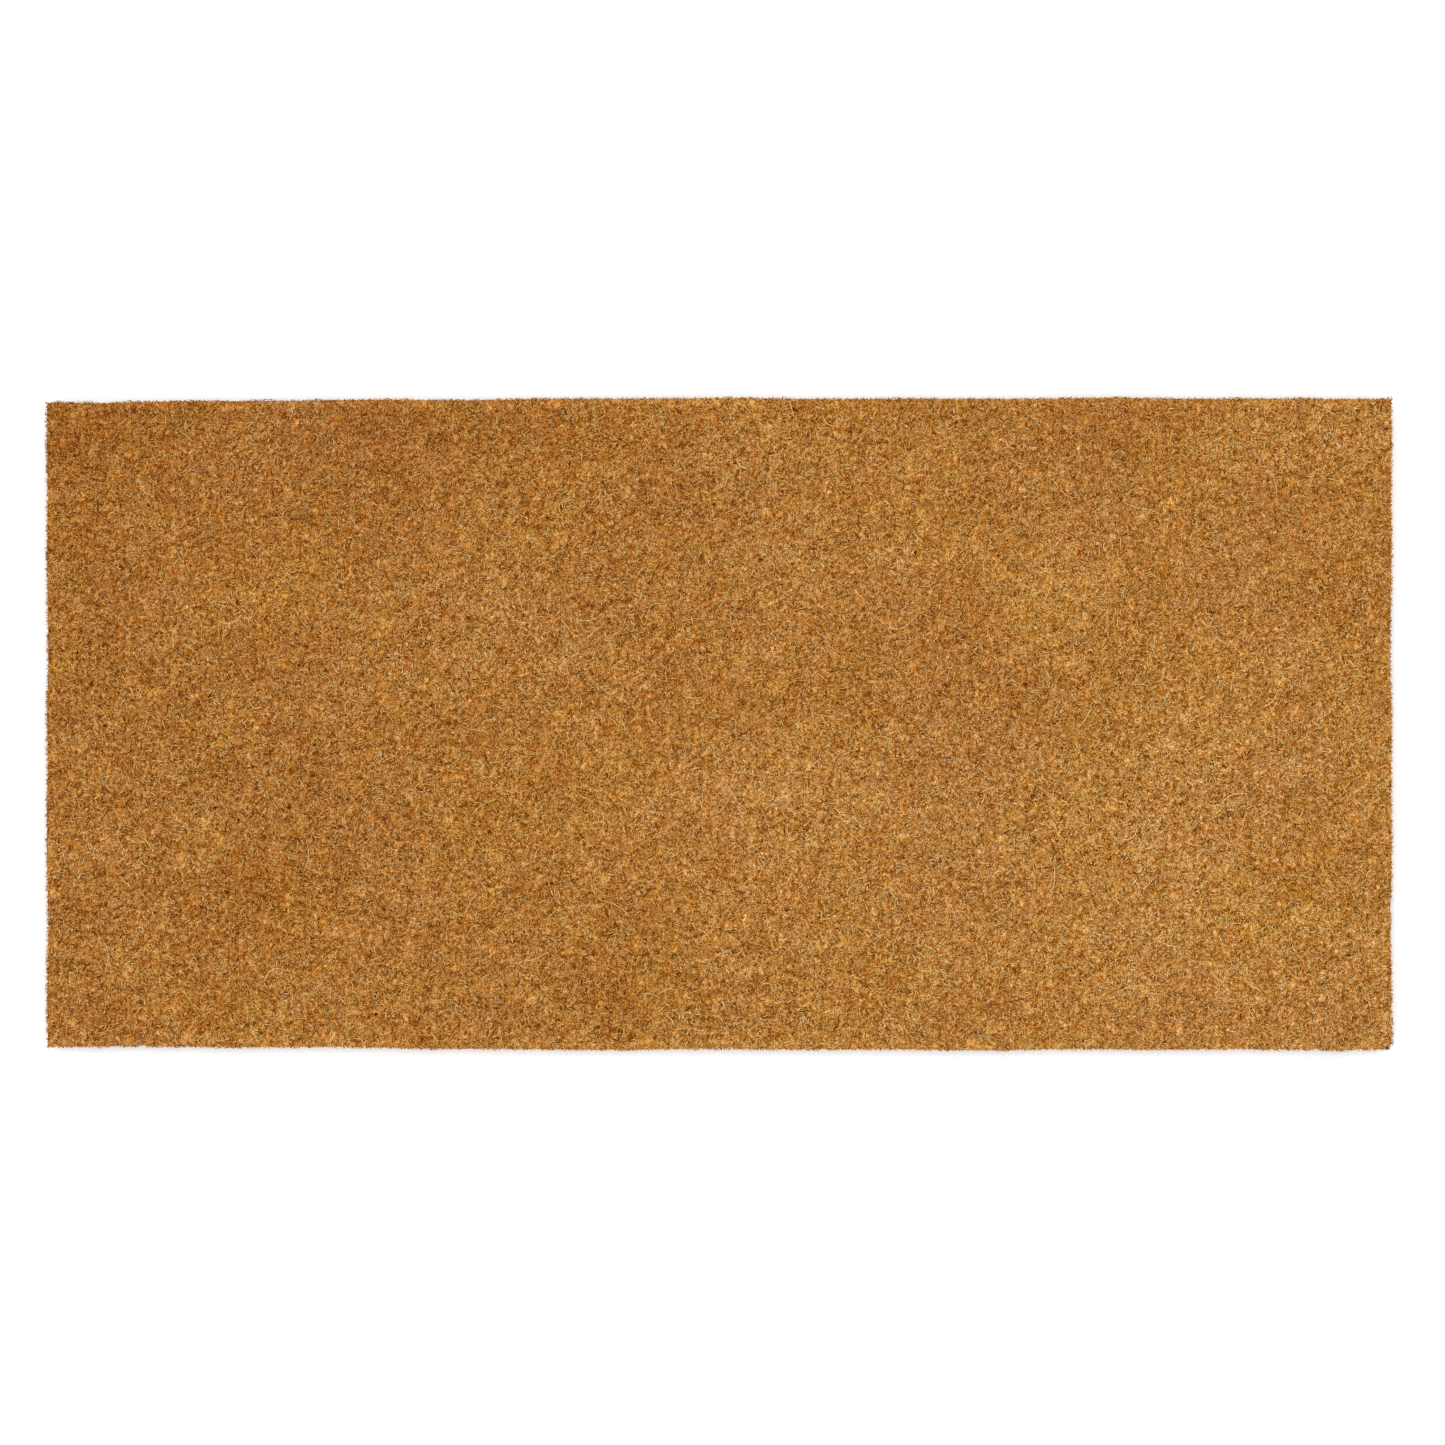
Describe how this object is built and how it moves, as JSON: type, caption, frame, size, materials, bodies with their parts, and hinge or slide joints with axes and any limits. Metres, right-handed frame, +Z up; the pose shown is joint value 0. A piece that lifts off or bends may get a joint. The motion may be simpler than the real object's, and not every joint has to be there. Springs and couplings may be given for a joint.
{
  "type": "door mat",
  "caption": "Rectangular coir door mat: a sheared natural-fibre pile, tufted in close rows into a flexible PVC backing sheet that lies flat on the floor.",
  "frame": {"origin": "centre of the flat underside of the backing, on the floor", "axes": "+X along the mat's length, across the rows of tufts; +Y along its width, along the rows; +Z up through the pile"},
  "size_m": [0.9, 0.435, 0.017],
  "materials": {
    "coir": "natural coconut fibre, sheared, matt",
    "pvc": "charcoal flexible PVC, matt, finely grained"
  },
  "bodies": {
    "root": {"backing": "pvc", "tuft_rows_01": "coir", "tuft_rows_02": "coir", "tuft_rows_03": "coir", "tuft_rows_04": "coir", "tuft_rows_05": "coir", "tuft_rows_06": "coir", "tuft_rows_07": "coir", "tuft_rows_08": "coir", "tuft_rows_09": "coir", "tuft_rows_10": "coir", "tuft_rows_11": "coir", "tuft_rows_12": "coir", "tuft_rows_13": "coir", "tuft_rows_14": "coir", "tuft_rows_15": "coir", "tuft_rows_16": "coir", "tuft_rows_17": "coir", "tuft_rows_18": "coir", "tuft_rows_19": "coir", "tuft_rows_20": "coir", "tuft_rows_21": "coir", "tuft_rows_22": "coir", "tuft_rows_23": "coir", "tuft_rows_24": "coir", "tuft_rows_25": "coir", "tuft_rows_26": "coir", "tuft_rows_27": "coir", "tuft_rows_28": "coir", "tuft_rows_29": "coir", "tuft_rows_30": "coir", "tuft_rows_31": "coir", "tuft_rows_32": "coir", "tuft_rows_33": "coir", "tuft_rows_34": "coir", "tuft_rows_35": "coir", "tuft_rows_36": "coir", "tuft_rows_37": "coir", "tuft_rows_38": "coir", "tuft_rows_39": "coir", "tuft_rows_40": "coir", "tuft_rows_41": "coir", "tuft_rows_42": "coir", "tuft_rows_43": "coir", "tuft_rows_44": "coir", "tuft_rows_45": "coir", "tuft_rows_46": "coir", "tuft_rows_47": "coir", "tuft_rows_48": "coir"}
  },
  "joints": []
}
